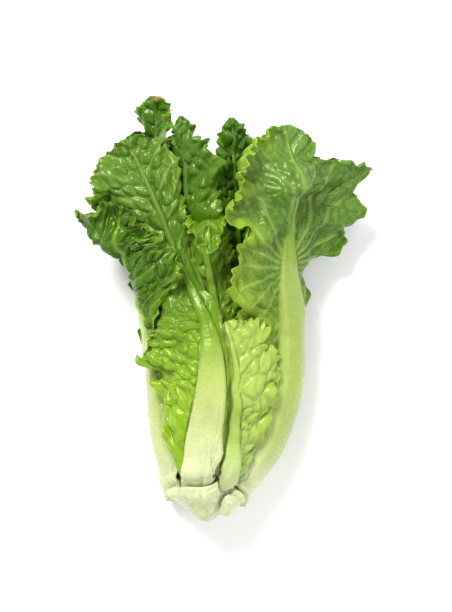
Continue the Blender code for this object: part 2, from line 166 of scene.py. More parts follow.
@dataclass
class Look:
    """How one leaf's surface looks."""

    depth: float = 1.0  # how far its green goes from bright to deep
    bloom: float = 0.0
    green_from: float = 0.2  # the share of its length where the green begins
    deep_green_and_shade_from: float = 0.5
    frill: float = 1.2
    blister: float = 1.2
    vein: float = 1.0
    fan_from: float = 0.0  # the share of its length from where its veins fan out, or 0
    fineness: tuple = (8, 9)
    margins: tuple = (0.1, 0.1)  # how bright its left and right margins are
    margin_reach: float = 7.0
    rib: float = 1.2  # how broad its rib is
    rib_green_from: float = 0.4  # where the rib itself turns green
    rib_light: float = 0.45  # how much lighter the rib stays than the blade
    rib_shade: float = 0.0  # how green the rib is from its base
    pale: float = 0.0  # how pale its blade is
    saw: float = 1.0  # how saw-toothed its margins are
    trim: float = 1.0  # millimetres that its margins draw back by
    rust: float = 0.0  # how brown its margins are
    lively_from: float = 0.12  # where its frills begin
    calm: tuple = (0.0, 0.0)  # the share of its length up to which each wing stays smooth


LEAVES = [
    Leaf(
        "left_back_leaf", 238,
        path=[(-9, 16, 11), (-20, 45, 4.5), (-20, 85, 2), (-21, 125, 2),
              (-27, 165, 5), (-37, 200, 14), (-44, 228, 27)],
        left=[11, 18, 24, 26, 30, 32, 26], right=[12, 15, 17, 20, 25, 30, 26],
        left_turn=[50, 45, 35, 25, 12, 0, -10], right_turn=[50, 55, 50, 40, 25, 10, 0],
        layer=(4, 4), rows=28, columns=10, seed=1, ruffle=4.0, waves=7,
    ),
    Leaf(
        "right_back_leaf", 302,
        path=[(9, 13, 11), (24, 45, 4.5), (27, 85, 2), (27, 125, 2),
              (30, 165, 5), (36, 200, 14), (38, 224, 28)],
        left=[12, 16, 20, 22, 26, 30, 26], right=[14, 20, 26, 30, 34, 34, 26],
        left_turn=[50, 55, 50, 40, 25, 10, 0], right_turn=[50, 45, 35, 25, 12, 5, 0],
        layer=(4.6, 4.6), rows=28, columns=10, seed=2, ruffle=4.0, waves=7,
    ),
    Leaf(
        "left_leaf", 183,
        path=[(-17, 16, 26), (-27, 44, 26), (-31, 80, 27), (-35, 115, 30),
              (-42, 146, 38), (-49, 172, 50), (-48, 184, 66)],
        left=[13, 18, 22, 24, 27, 26, 24], right=[13, 23, 26, 15, 38, 34, 26],
        left_turn=[55, 50, 40, 30, 20, 0, -20], right_turn=[55, 55, 55, 50, 50, 30, 0],
        twist=(-18, -54), layer=(3, 3.4), seed=3, ruffle=4.2, waves=8, rows=40,
    ),
    Leaf(
        "right_leaf", 12,
        path=[(17, 16, 27), (38, 42, 26), (49, 78, 29), (51, 115, 34),
              (47, 150, 43), (48, 187, 51), (45, 231, 60)],
        left=[14, 24, 34, 42, 44, 46, 40], right=[14, 18, 20, 22, 33, 58, 22],
        left_turn=[60, 70, 78, 72, 40, 5, -30], right_turn=[55, 55, 50, 40, 20, 0, -20],
        twist=(20, 58), curl=(-110, 0), layer=(2.4, 2.4), rib=6.5, rib_width=15, seed=4, ruffle=4.4, waves=8,
        rows=40, notches=((1, 0.93, 0.5, 0.025),),
    ),
    Leaf(
        "front_leaf", 92,
        path=[(-2, 18, 46), (-1, 50, 55), (3, 84, 61), (0, 116, 58),
              (-14, 147, 54), (-29, 186, 60), (-46, 223, 60)],
        left=[12, 25, 38, 43, 28, 42, 40], right=[10, 12, 12, 9, 11, 20, 30],
        left_turn=[45, 40, 42, 38, 20, 0, -20], right_turn=[65, 70, 70, 55, 40, 10, -20],
        twist=(0, 6), layer=(4, 2.6), rib=6.5, rib_width=10, seed=5, ruffle=4.2, waves=8, rows=42,
    ),
    Leaf(
        "middle_right_leaf", 66,
        path=[(8, 20, 42), (13, 40, 48), (17, 58, 53), (18, 76, 57),
              (17, 92, 58), (14, 106, 58), (10, 118, 56)],
        left=[9, 10, 11, 12, 12, 12, 11], right=[9, 17, 22, 28, 30, 26, 20],
        left_turn=[40, 50, 60, 60, 50, 40, 30], right_turn=[40, 40, 40, 35, 30, 25, 20],
        layer=(3, 3), rib=4, rib_width=8, rows=24, columns=10, seed=6, ruffle=2.6, waves=5,
    ),
    Leaf(
        "inner_front_leaf", 84,
        path=[(1, 26, 42), (4, 60, 47), (6, 95, 49), (4, 130, 51),
              (0, 158, 58), (0, 175, 69), (1, 156, 79)],
        left=[9, 14, 18, 19, 13, 12, 12], right=[9, 14, 18, 19, 15, 13, 12],
        left_turn=[50, 50, 45, 40, 30, 10, 0], right_turn=[50, 50, 45, 40, 30, 10, 0],
        layer=(1.6, 1.4), seed=7, ruffle=3.8, waves=7, rows=36, columns=10,
    ),
    Leaf(
        "tall_left_leaf", 205,
        path=[(-12, 24, 20), (-22, 60, 18), (-24, 100, 18), (-24, 140, 20),
              (-26, 180, 25), (-28, 218, 34), (-30, 249, 44)],
        left=[9, 13, 18, 22, 25, 22, 20], right=[9, 13, 18, 22, 25, 24, 24],
        left_turn=[50, 50, 45, 40, 30, 15, 10], right_turn=[50, 50, 45, 40, 30, 25, 20],
        twist=(-20, -70), layer=(1.6, 1.6), seed=8, ruffle=4.5, waves=7, rows=30, columns=8,
    ),
    Leaf(
        "upper_left_leaf", 120,
        path=[(-6, 28, 37), (-11, 60, 42), (-12, 100, 43), (-12, 140, 45),
              (-13, 175, 52), (-14, 208, 60), (-15, 236, 62)],
        left=[9, 14, 18, 21, 22, 20, 12], right=[9, 14, 18, 21, 24, 22, 13],
        left_turn=[50, 50, 45, 40, 30, 10, -10], right_turn=[50, 50, 45, 40, 30, 10, -10],
        layer=(1.0, 1.0), seed=9, ruffle=4.4, waves=7, rows=30, columns=8,
    ),
    Leaf(
        "upper_right_leaf", 48,
        path=[(7, 30, 33), (15, 62, 38), (20, 100, 40), (20, 140, 42),
              (18, 175, 46), (16, 208, 50), (15, 236, 50)],
        left=[9, 14, 18, 20, 20, 15, 11], right=[9, 14, 18, 22, 26, 22, 12],
        left_turn=[50, 50, 45, 40, 30, 20, 20], right_turn=[50, 50, 45, 40, 30, 20, 20],
        layer=(0.8, 0.8), seed=10, ruffle=4.5, waves=7, rows=30, columns=8,
    ),
    Leaf(
        "lower_right_leaf", 335,
        path=[(13, 26, 21), (26, 60, 20), (31, 100, 21), (34, 140, 24),
              (40, 175, 29), (48, 205, 35), (54, 224, 42)],
        left=[9, 14, 20, 26, 30, 30, 26], right=[9, 14, 20, 26, 30, 30, 26],
        left_turn=[50, 50, 45, 40, 30, 15, 10], right_turn=[50, 50, 45, 40, 30, 15, 10],
        layer=(1.8, 1.8), seed=11, ruffle=3.6, waves=7, rows=26, columns=8,
    ),
]


def cut_base(name, face, lean, height, spread, seed):
    """What is left at the butt of an outer leaf that was pulled off or trimmed away."""
    path = []
    for along in np.linspace(0, 1, 7):
        y = 5 + (height - 5) * along
        angle = math.radians(face + lean * (along - 0.5))
        out = STEM_RADIUS + 2.5 + 1.5 * along - 5.5 * (1 - along) ** 2
        path.append((out * math.cos(angle), y, STEM_HEIGHT + out * math.sin(angle)))
    widths = [spread * share for share in CUT_BASE_SHAPE]
    return Leaf(
        name, face, path=path, left=widths, right=widths, left_turn=[50] * 7, right_turn=[50] * 7,
        layer=(5.5, 5.5), rib=3.0, rib_width=12, ruffle=0.5, waves=1, cut=True, seed=seed,
        rows=8, columns=8,
    )


def heart_leaf(number):
    """One of the small pale leaves that are folded together in the middle."""
    turn = 40 + 137.5 * number
    angle = math.radians(turn)
    base = 36 + 4 * number
    tall = 196 - 12 * number
    path = []
    for along in np.linspace(0, 1, 7):
        y = base + (tall - base) * along
        out = float(stem_radius(y)) + 2.5 + 9 * math.sin(math.pi * min(along * 0.8, 0.5)) - 1.0 * number
        path.append((out * math.cos(angle) + 2 * along, y, STEM_HEIGHT + 6 * along + out * math.sin(angle)))
    width = [6, 8, 11, 14, 17, 19, 17]
    turns = [60, 70, 75, 70, 60, 50, 40]
    return Leaf(
        f"heart_leaf_{number + 1}", turn, path=path, left=width, right=width, left_turn=turns,
        right_turn=turns, layer=(0.2 - 0.1 * number, 0.2 - 0.1 * number), rib=3.5, rib_width=7,
        ruffle=2.2, waves=6, seed=20 + number, rows=14, columns=8,
    )


def all_leaves():
    return LEAVES + [cut_base(*size) for size in CUT_BASES] + [heart_leaf(n) for n in range(HEART_LEAVES)]


LOOKS = {
    # painted shade: an early deep green (deep_green_and_shade_from), no lighter rib (rib_light) and an early
    # green rib (rib_green_from) darken the rib above the crease and the left wing, as painted shade of the
    # hollow there
    "front_leaf": Look(
        depth=0.9, bloom=0.5, green_from=-0.1, deep_green_and_shade_from=0.48, frill=1.3, blister=1.3,
        margins=(0.3, 0.2), lively_from=0.0, calm=(0.0, 0.6), rib_green_from=0.32,
        rib_light=0.0, rust=0.2,
    ),
    "middle_right_leaf": Look(
        depth=0.05, green_from=-0.1, deep_green_and_shade_from=0.95, frill=0.8, blister=1.0, vein=0.7,
        margins=(0.0, 0.5), lively_from=-0.1, calm=(1.1, 0.0), rib=0.9, rib_green_from=0.0, pale=0.45,
        saw=2.0, trim=0.0,
    ),
    "right_leaf": Look(
        bloom=0.7, green_from=0.42, deep_green_and_shade_from=0.48, frill=1.0, blister=0.7, vein=1.25,
        fan_from=0.6, fineness=(8, 10), margins=(0.9, 0.1), margin_reach=16, calm=(0.0, 0.45),
        rib=1.7, rib_green_from=0.6, rib_shade=0.35, trim=0.3,
    ),
    "left_leaf": Look(
        green_from=0.3, deep_green_and_shade_from=0.45, frill=1.3, blister=2.0, vein=0.6, margins=(0.4, 0.4),
        rib=1.4, rib_green_from=0.5, trim=3.0,
    ),
    # painted shade: an early deep green (deep_green_and_shade_from), a green rib from the base
    # (rib_green_from) and a lower rib_light darken the stalk as painted shade, where it lies in the shaded
    # hollow under the front leaf
    "inner_front_leaf": Look(
        depth=0.8, green_from=-0.1, deep_green_and_shade_from=0.35, frill=1.4, blister=1.4, margins=(0.5, 0.5),
        rib=0.5, rib_green_from=0.0, rib_light=0.3,
    ),
    "upper_left_leaf": Look(
        depth=0.95, bloom=0.55, frill=1.7, blister=1.8, vein=0.3, rib=0.5, rib_green_from=0.1,
        rib_light=0.1, trim=0.0,
    ),
    "tall_left_leaf": Look(
        frill=1.6, blister=1.6, vein=0.2, margins=(0.2, 0.3), rib=0.4, rib_green_from=0.1, rib_light=0.1,
        trim=0.5, rust=0.9,
    ),
    "upper_right_leaf": Look(
        bloom=0.15, frill=1.7, blister=1.8, vein=0.2, rib=0.4, rib_green_from=0.1, rib_light=0.1, trim=0.0,
    ),
    "lower_right_leaf": Look(depth=0.9, bloom=0.3, fineness=(8, 8)),
    "left_back_leaf": Look(depth=0.95, bloom=0.1, deep_green_and_shade_from=0.45, vein=1.2, fineness=(8, 8)),
    "right_back_leaf": Look(depth=0.95, bloom=0.1, deep_green_and_shade_from=0.45, vein=1.2, fineness=(8, 8)),
    "heart": Look(depth=0.0, green_from=0.5, deep_green_and_shade_from=1.0, frill=1.0, fineness=(6, 6), margins=(0, 0)),
    "cut_base": Look(
        depth=0.0, green_from=1.3, frill=0.0, blister=0.0, vein=0.0, margins=(0, 0), rib_green_from=1.3,
        rust=0.45,
    ),
}


def curve_through(stations, u):
    """A smooth curve through evenly spaced stations, read at u from 0 to 1."""
    p = np.asarray(stations, float)
    p = p.reshape(len(p), -1)
    p = np.vstack([2 * p[0] - p[1], p, 2 * p[-1] - p[-2]])
    s = np.clip(np.asarray(u, float), 0, 1) * (len(p) - 3)
    i = np.minimum(s.astype(int), len(p) - 4)
    t = (s - i)[:, None]
    a, b, c, d = p[i], p[i + 1], p[i + 2], p[i + 3]
    made = b + 0.5 * t * (c - a + t * (2 * a - 5 * b + 4 * c - d + t * (3 * (b - c) + d - a)))
    return made[:, 0] if made.shape[1] == 1 else made


def unit(vectors):
    return vectors / np.maximum(np.linalg.norm(vectors, axis=-1, keepdims=True), 1e-9)


def columns_at(u, fine, values):
    """Each column of values, given at fine, read at u."""
    return np.column_stack([np.interp(u, fine, column) for column in values.T])


def midrib_frames(leaf, u):
    """Points of the midrib, with its direction, the way its back faces and the way its right wing goes."""
    fine = np.linspace(0, 1, 161)
    points = curve_through(leaf.path, fine)
    along = unit(np.gradient(points, axis=0))
    angle = math.radians(leaf.face)
    back = np.array([math.cos(angle), 0.0, math.sin(angle)])
    backs = []
    for direction in along:
        back = unit(back - direction * (back @ direction))
        backs.append(back)
    twist = np.radians(curve_through([0.0, *leaf.twist], fine))[:, None]
    backs = np.array(backs)
    backs = backs * np.cos(twist) + np.cross(backs, along) * np.sin(twist)
    points = columns_at(u, fine, points)
    along = unit(columns_at(u, fine, along))
    backs = unit(columns_at(u, fine, backs))
    return points, along, backs, np.cross(along, backs)


def ruffle_height(leaf, side, u, share, width):
    """Waves that grow towards the margin, lower where the wing is narrow."""
    draw = np.random.default_rng(leaf.seed * 2 + (side > 0))
    start = draw.uniform(0, 2 * math.pi, 4)
    phase = 2 * math.pi * leaf.waves * u + start[0] + 0.9 * np.sin(2 * math.pi * 2.3 * u + start[1])
    wave = np.sin(phase) + 0.35 * np.sin(1.9 * phase + start[2])
    slow = 0.8 * np.sin(2 * math.pi * 2.1 * u + start[3])
    grown = np.clip((u - 0.12) / 0.3, 0, 1) * np.clip(width / FULL_WING, 0, 1)
    return leaf.ruffle * grown * (share**2.2 * wave + share**1.3 * slow)


def wing_width(leaf, side, u):
    """The wing's width: uneven, and closed round the tip, unless the leaf is cut."""
    width = np.maximum(curve_through(leaf.right if side > 0 else leaf.left, u), 1.0)
    if leaf.cut:
        return width
    draw = np.random.default_rng(leaf.seed * 2 + 100 + (side > 0))
    start = draw.uniform(0, 2 * math.pi, 2)
    uneven = 0.6 * np.sin(2 * math.pi * 5.3 * u + start[0]) + 0.4 * np.sin(2 * math.pi * 9.1 * u + start[1])
    width = width * (1 + leaf.ragged * uneven * np.clip((u - 0.15) / 0.3, 0, 1))
    for notched, place, depth, reach in leaf.notches:
        if notched == side:
            width = width * (1 - depth * np.exp(-(((u - place) / reach) ** 2)))
    past = np.clip((u - (1 - TIP_SHARE)) / TIP_SHARE, 0, 1)
    return width * np.sqrt(np.maximum(1 - past**2, 0.03))


def thickness(leaf, u, across):
    """The leaf's thickness: a rib that thins towards the tip, between thin wings."""
    taper = np.full_like(u, 0.8) if leaf.cut else curve_through(RIB_TAPER, u)
    width = 1.5 + leaf.rib_width * taper
    return BLADE + (leaf.rib - BLADE) * taper * np.exp(-((across / width) ** 2))


def leaf_surface(leaf):
    """Grid points of the middle of the leaf, (rows + 1) x (columns + 1) x 3, and half its thickness there."""
    u = np.linspace(0, 1, leaf.rows + 1)
    points, _, back, right = midrib_frames(leaf, u)
    shares = np.linspace(-1, 1, leaf.columns + 1)
    grid = np.zeros((len(u), len(shares), 3))
    half = np.zeros(grid.shape[:2])
    for column, share in enumerate(shares):
        side = 1.0 if share > 0 else -1.0
        width = wing_width(leaf, side, u)
        turn = np.radians(curve_through(leaf.right_turn if side > 0 else leaf.left_turn, u))
        curl = math.radians(leaf.curl[side > 0]) * np.clip((u - 0.1) / 0.2, 0, 1)
        far = abs(share)
        between = (np.arange(16)[:, None] + 0.5) / 16 * far
        turned = turn * between + curl * between**5
        out = np.cos(turned).mean(axis=0) * far * width
        inwards = np.sin(turned).mean(axis=0) * far * width
        angle = (turn * far + curl * far**5)[:, None]
        normal = back * np.cos(angle) + side * right * np.sin(angle)
        thick = thickness(leaf, u, far * width)
        lift = (thick - BLADE) / 2 + ruffle_height(leaf, side, u, far, width)
        grid[:, column] = points + side * out[:, None] * right - inwards[:, None] * back
        grid[:, column] += normal * lift[:, None]
        half[:, column] = thick / 2
    return grid, half


def grid_triangles(rows, columns):
    """Corner numbers of two triangles for each cell of a grid."""
    triangles = []
    for r in range(rows):
        for c in range(columns):
            a = r * (columns + 1) + c
            b, d = a + 1, a + columns + 1
            e = d + 1
            triangles += [(a, b, e), (a, e, d)]
    return triangles


def neighbours(values):
    """For each grid value, the ones before and after it both ways."""
    padded = np.pad(values, ((1, 1), (1, 1), (0, 0)), mode="edge")
    return padded[:-2, 1:-1], padded[2:, 1:-1], padded[1:-1, :-2], padded[1:-1, 2:]


def neighbour_mean(values):
    """Each grid value's mean with its neighbours."""
    return 0.5 * values + 0.125 * sum(neighbours(values))


def stem_radius(y):
    """The stem's radius at a distance from the butt."""
    return np.interp(y, [p[0] for p in STEM_OUTLINE], [p[1] for p in STEM_OUTLINE])


def opened(points, layer):
    """Points moved away from the head's middle line, further for outer layers."""
    middle = np.array([BELLY[0], 0.0, BELLY[1]])
    out = points - middle
    out[..., 1] = 0
    return points + out * (OPEN_BY * layer)[:, None, None]


def settle(leaves):
    """Closes the opened head step by step. Leaves that come too near push each other apart."""
    made = [leaf_surface(leaf) for leaf in leaves]
    wanted = [grid for grid, _ in made]
    halves = [half for _, half in made]
    faces = [grid_triangles(leaf.rows, leaf.columns) for leaf in leaves]
    layers = [np.linspace(leaf.layer[0], leaf.layer[1], leaf.rows + 1) for leaf in leaves]
    starts = [opened(grid, layer) for grid, layer in zip(wanted, layers)]
    orders = [np.repeat(layer, leaf.columns + 1) for layer, leaf in zip(layers, leaves)]
    grids = [grid.copy() for grid in starts]
    for step in range(SETTLE_STEPS + FREE_STEPS):
        closing = min(1.0, (step + 1) / (SETTLE_STEPS * CLOSING_SHARE))
        if step < SETTLE_STEPS:
            for k, grid in enumerate(grids):
                goal = starts[k] + (wanted[k] - starts[k]) * closing
                grids[k] = goal + neighbour_mean(grid - goal) * (1 - PULL)
        smooth = step < SETTLE_STEPS + FREE_STEPS // 4
        part_leaves(grids, halves, faces, orders, smooth)
        if step >= SETTLE_STEPS:
            untangle(grids, halves, faces, orders)
        for grid, half in zip(grids, halves):
            clear_of_stem_and_table(grid, half)
    return grids, halves


def backs_of(grid):
    """The way that the leaf's back faces at each grid point."""
    return unit(np.cross(np.gradient(grid, axis=1), np.gradient(grid, axis=0))).reshape(-1, 3)


def part_leaves(grids, halves, faces, orders, smooth):
    """Pushes apart leaves that are nearer than their thickness and a gap, and puts crossed ones in order."""
    flat = [grid.reshape(-1, 3) for grid in grids]
    thick = [half.ravel() for half in halves]
    trees = [BVHTree.FromPolygons(points.tolist(), tris) for points, tris in zip(flat, faces)]
    backs = [backs_of(grid) for grid in grids]
    lows = [points.min(0) for points in flat]
    highs = [points.max(0) for points in flat]
    pushes = [np.zeros_like(points) for points in flat]
    for a, points in enumerate(flat):
        for b, tree in enumerate(trees):
            if a == b:
                continue
            near = ((points > lows[b] - DEEPEST) & (points < highs[b] + DEEPEST)).all(1)
            for i in np.flatnonzero(near):
                place, _, face, distance = tree.find_nearest(points[i].tolist(), DEEPEST)
                if place is None or distance < 1e-6:
                    continue
                corners = list(faces[b][face])
                need = thick[a][i] + thick[b][corners].mean() + GAP + FACET_ROOM
                away = points[i] - np.array(place)
                back = backs[b][corners].mean(0)
                side = math.copysign(1.0, orders[a][i] - orders[b][corners[0]])
                depth = side * float(away @ back)
                crossed = depth < -0.5 * distance and backs[a][i] @ back > -0.4
                if crossed:
                    push = back * (side * min(need - depth, MOST_PUSH) * 0.5)
                elif distance < need:
                    push = away * ((need - distance) / distance * 0.5)
                else:
                    continue
                strongest(pushes[a], i, push)
                for corner in corners:
                    strongest(pushes[b], corner, -push)
    for k, grid in enumerate(grids):
        push = pushes[k].reshape(grid.shape)
        grid += 0.5 * (push + neighbour_mean(push)) if smooth else push


def skins_of(grid, half, triangles):
    """Both faces of a leaf at its grid points, and their triangles."""
    lift = backs_of(grid) * (half.reshape(-1, 1) + SKIN_ROOM)
    points = grid.reshape(-1, 3)
    skins = np.vstack([points + lift, points - lift])
    below = [tuple(corner + len(points) for corner in triangle) for triangle in triangles]
    return skins, triangles + below


def untangle(grids, halves, faces, orders):
    """Moves faces that still cross back to their own side, and irons out a leaf that crosses itself."""
    flat = [grid.reshape(-1, 3) for grid in grids]
    backs = [backs_of(grid) for grid in grids]
    skins = [skins_of(*leaf) for leaf in zip(grids, halves, faces)]
    trees = [BVHTree.FromPolygons(points.tolist(), tris) for points, tris in skins]
    for a, tree in enumerate(trees):
        for b in range(a):
            for face_a, face_b in tree.overlap(trees[b]):
                corners_a = list(faces[a][face_a % len(faces[a])])
                corners_b = list(faces[b][face_b % len(faces[b])])
                side = math.copysign(UNTANGLE, orders[a][corners_a[0]] - orders[b][corners_b[0]])
                push = backs[b][corners_b].mean(0) * side
                flat[a][corners_a] += push
                flat[b][corners_b] -= push
        folded = np.zeros(len(flat[a]))
        for first, second in tree.overlap(tree):
            corners_a, corners_b = skins[a][1][first], skins[a][1][second]
            if not set(corners_a) & set(corners_b):
                folded[[corner % len(folded) for corner in corners_a + corners_b]] = 1.0
        if folded.any():
            share = neighbour_mean(neighbour_mean(folded.reshape(grids[a].shape[:2] + (1,))))
            ironed = neighbour_mean(grids[a])
            grids[a] += (ironed - grids[a]) * np.clip(4 * share, 0, 1)


def strongest(pushes, i, push):
    """Adds a push to a point, without adding twice what already moves it that way."""
    size = math.sqrt(push @ push)
    already = pushes[i] @ push / size if size > 1e-9 else 0.0
    if already < size:
        pushes[i] += push * ((size - max(already, 0.0)) / max(size, 1e-9))


def clear_of_stem_and_table(grid, half):
    """Keeps a leaf outside the stem and above the surface that the head lies on."""
    out_x, out_z = grid[..., 0], grid[..., 2] - STEM_HEIGHT
    distance = np.maximum(np.hypot(out_x, out_z), 1e-6)
    need = stem_radius(grid[..., 1]) + half + GAP + FACET_ROOM / 2
    short = (distance < need) & (grid[..., 1] > 0) & (grid[..., 1] < STEM_LENGTH + 2)
    scale = np.where(short, need / distance, 1.0)
    grid[..., 0] = out_x * scale
    grid[..., 2] = STEM_HEIGHT + out_z * scale
    grid[..., 2] = np.maximum(grid[..., 2], half * (1 - FLATTENED))


def mixed(first, second, share):
    share = np.clip(share, 0, 1)[..., None]
    return first * (1 - share) + second * share


def smooth_step(low, high, x):
    t = np.clip((x - low) / (high - low), 0, 1)
    return t * t * (3 - 2 * t)


def scattered(i, j, seed):
    """A number from 0 to 1 for each lattice point."""
    value = np.sin(i * 127.1 + j * 311.7 + seed * 74.7) * 43758.5453
    return value - np.floor(value)


def drift(x, y, seed):
    """Smooth noise from -1 to 1 that changes over a length of one."""
    i, j = np.floor(x), np.floor(y)
    a, b = x - i, y - j
    a, b = a * a * (3 - 2 * a), b * b * (3 - 2 * b)
    low = scattered(i, j, seed) * (1 - a) + scattered(i + 1, j, seed) * a
    high = scattered(i, j + 1, seed) * (1 - a) + scattered(i + 1, j + 1, seed) * a
    return 2 * (low * (1 - b) + high * b) - 1


def cells(x, y, seed):
    """Distances to the nearest and the second nearest of scattered points, one for each unit square."""
    i, j = np.floor(x), np.floor(y)
    nearest = np.full(x.shape, 9.0)
    second = np.full(x.shape, 9.0)
    for di in (-1, 0, 1):
        for dj in (-1, 0, 1):
            px = i + di + 0.15 + 0.7 * scattered(i + di, j + dj, seed)
            py = j + dj + 0.15 + 0.7 * scattered(i + di, j + dj, seed + 5)
            distance = np.hypot(px - x, py - y)
            second = np.minimum(second, np.maximum(nearest, distance))
            nearest = np.minimum(nearest, distance)
    return nearest, second


def spread(values, rows, columns):
    """Grid values on a finer grid, by smooth curves both ways."""
    values = values.reshape(values.shape[0], values.shape[1], -1)
    high, wide, depth = values.shape
    down = curve_through(values.reshape(high, -1), np.linspace(0, 1, rows)).reshape(rows, wide, depth)
    across = down.transpose(1, 0, 2).reshape(wide, -1)
    fine = curve_through(across, np.linspace(0, 1, columns)).reshape(columns, rows, depth)
    return fine.transpose(1, 0, 2)


def clearances(grids, halves, faces):
    """For each leaf point, the free height over its back and over its face."""
    flat = [grid.reshape(-1, 3) for grid in grids]
    thick = [half.ravel() for half in halves]
    trees = [BVHTree.FromPolygons(points.tolist(), tris) for points, tris in zip(flat, faces)]
    free = []
    for a, points in enumerate(flat):
        backs = backs_of(grids[a])
        room = np.full((len(points), 2), MOST_ROOM)
        for b, tree in enumerate(trees):
            if a == b:
                continue
            for i, point in enumerate(points):
                place, _, face, distance = tree.find_nearest(point.tolist(), ROOM_REACH)
                if place is None:
                    continue
                side = 0 if (np.array(place) - point) @ backs[i] > 0 else 1
                left = distance - thick[a][i] - thick[b][list(faces[b][face])].mean()
                room[i, side] = min(room[i, side], max(left, 0.0))
        free.append(room.reshape(grids[a].shape[:2] + (2,)))
    return free


def lengths_along(points, axis):
    """Distances along the grid lines from their first points."""
    steps = np.linalg.norm(np.diff(points, axis=axis), axis=-1)
    pad = [(0, 0), (0, 0)]
    pad[axis] = (1, 0)
    return np.pad(np.cumsum(steps, axis=axis), pad)


def blurred(values, steps):
    """Grid values averaged over a few steps to each side, along and across."""
    for axis in (0, 1):
        pad = [(0, 0), (0, 0)]
        pad[axis] = (steps, steps)
        padded = np.pad(values, pad, mode="edge")
        shifted = [np.roll(padded, -k, axis=axis) for k in range(2 * steps + 1)]
        mean = sum(shifted) / len(shifted)
        values = np.take(mean, range(values.shape[axis]), axis=axis)
    return values


def fading(distance, reach):
    """One where the distance is nothing, fading to nothing over the reach."""
    return np.exp(-((distance / reach) ** 2))


class Sheet:
    """Where each point of a leaf's fine grid lies on the leaf, in millimetres along its skin."""

    def __init__(self, leaf, look, points):
        rows, columns = points.shape[:2]
        middle = columns // 2
        every = np.ones((1, columns))
        across = lengths_along(points, 1)
        self.leaf = leaf
        self.look = look
        self.u = np.linspace(0, 1, rows)[:, None] * every
        self.across = across - across[:, middle : middle + 1]
        self.along = lengths_along(points, 0)[:, middle : middle + 1] * every
        self.out = np.abs(self.across)
        self.right = self.across > 0
        self.side = np.where(self.right, RIGHT_PATTERN, 0.0)
        self.wing = np.where(self.right, self.across[:, -1:], -self.across[:, :1])
        self.tip = np.full_like(self.u, 60.0) if leaf.cut else (1 - self.u) * self.along[-1, 0]
        self.edge = np.minimum(np.maximum(self.wing - self.out, 0), self.tip * 1.2)
        self.lively_from = np.maximum(look.lively_from, self.by_wing(look.calm))
        self.grown = smooth_step(0, 0.22, self.u - self.lively_from) * smooth_step(3, 13, self.wing)
        narrowed = 1 - 0.6 * smooth_step(look.rib_green_from, look.rib_green_from + 0.3, self.u)
        self.rib_reach = 0.8 + leaf.rib_width * look.rib * (1 - self.u) ** 1.3 * narrowed
        self.off_rib = smooth_step(0.85, 1.15, self.out / self.rib_reach)
        self.line = self.along - self.out + self.side * 31
        self.sway = 1.4 * self.margin_drift(26, 1) + 0.8 * self.margin_drift(9, 2)

    def by_wing(self, values):
        """The first value on the left wing, the second on the right one."""
        return np.where(self.right, values[1], values[0])

    def drift(self, x, y, draw):
        return drift(x, y, self.leaf.seed * 10 + draw)

    def skin_drift(self, length, width, draw):
        """Noise over the skin, by its lengths along and across the leaf."""
        return self.drift(self.along / length, self.across / width, draw)

    def margin_drift(self, length, draw):
        """Noise along the margins."""
        return self.drift(self.line / length, self.side + 0.5, draw)


def veins(sheet):
    """Veins that leave the rib and fork to the margin, from 0 between them to 1 on them."""
    look, along, out, side = sheet.look, sheet.along, sheet.out, sheet.side
    wander = sheet.skin_drift(21, 15, 6)
    if look.fan_from:
        rise = along - look.fan_from * along[-1, 0]
        turn = np.arctan2(out, rise) / FAN_TURN + 0.25 * wander
        from_vein = np.abs(turn % 1 - 0.5) * FAN_TURN * np.hypot(rise, out)
    else:
        rising = along - 1.05 * out + 0.006 * out**2 + 2.2 * wander
        from_vein = np.abs((rising / VEIN_SPACING + side * 0.17) % 1 - 0.5) * VEIN_SPACING
    vein = fading(from_vein, 0.55 + 0.3 * look.vein) * smooth_step(0, 4, out) * smooth_step(2, 9, sheet.edge)
    fork = along - 2.1 * out + 3.0 * sheet.skin_drift(17, 17, 7)
    from_fork = np.abs((fork / FORK_SPACING + side * 0.4) % 1 - 0.5) * FORK_SPACING
    vein = np.maximum(vein, 0.55 * fading(from_fork, 0.6) * smooth_step(2, 8, sheet.edge))
    return vein * sheet.off_rib * smooth_step(0.08, 0.3, sheet.u)


def proud_rib(sheet, points, half, room):
    """Raises the rib from the wings, with steeper sides than its solid."""
    middle = points.shape[1] // 2
    rib = np.maximum(half[:, middle : middle + 1] * 2 - BLADE, 0)
    full = BLADE + rib * (1 - smooth_step(0.75, 1.1, sheet.out / sheet.rib_reach))
    full = np.minimum(full, half * 2 + np.minimum(ROOM_SHARE * room[..., 0], PROUDEST))
    return points + backs_of(points).reshape(points.shape) * (full / 2 - half)[..., None], full / 2


def frills(sheet):
    """Waves of the margins and folds of the wings."""
    high = 0.65 + 0.35 * sheet.margin_drift(19, 3)
    large = np.sin(2 * math.pi * sheet.line / FRILL_WAVE + 2 * sheet.sway)
    small = np.sin(2 * math.pi * sheet.line / SMALL_FRILL_WAVE + 3 * sheet.sway)
    frill = 0.95 * fading(sheet.edge, FRILL_REACH) * large * high
    frill += 0.42 * fading(sheet.edge, SMALL_FRILL_REACH) * small
    fold = 0.75 * sheet.drift(sheet.along / 22 + 7 + sheet.side, sheet.out / 11, 4)
    fold += 0.4 * sheet.drift(sheet.along / 9 + sheet.side, sheet.out / 8 + 3, 5)
    return frill + fold * sheet.off_rib


def blisters(sheet, size):
    """Distance from the lines between blisters, the large blisters and the small ones."""
    seed = sheet.leaf.seed * 10
    x = sheet.across / size + 0.35 * sheet.skin_drift(9, 9, 8)
    y = (sheet.along - 0.5 * sheet.out) / (size * 1.15) + 0.35 * sheet.skin_drift(9, 9, 9)
    nearest, second = cells(x, y, seed + 11)
    border = second - nearest
    small, small_second = cells(x * 2.1 + 3, y * 2.1, seed + 13)
    return border, (1 - fading(border, 0.28)) * (1.1 - 0.6 * nearest), 1 - fading(small_second - small, 0.25)


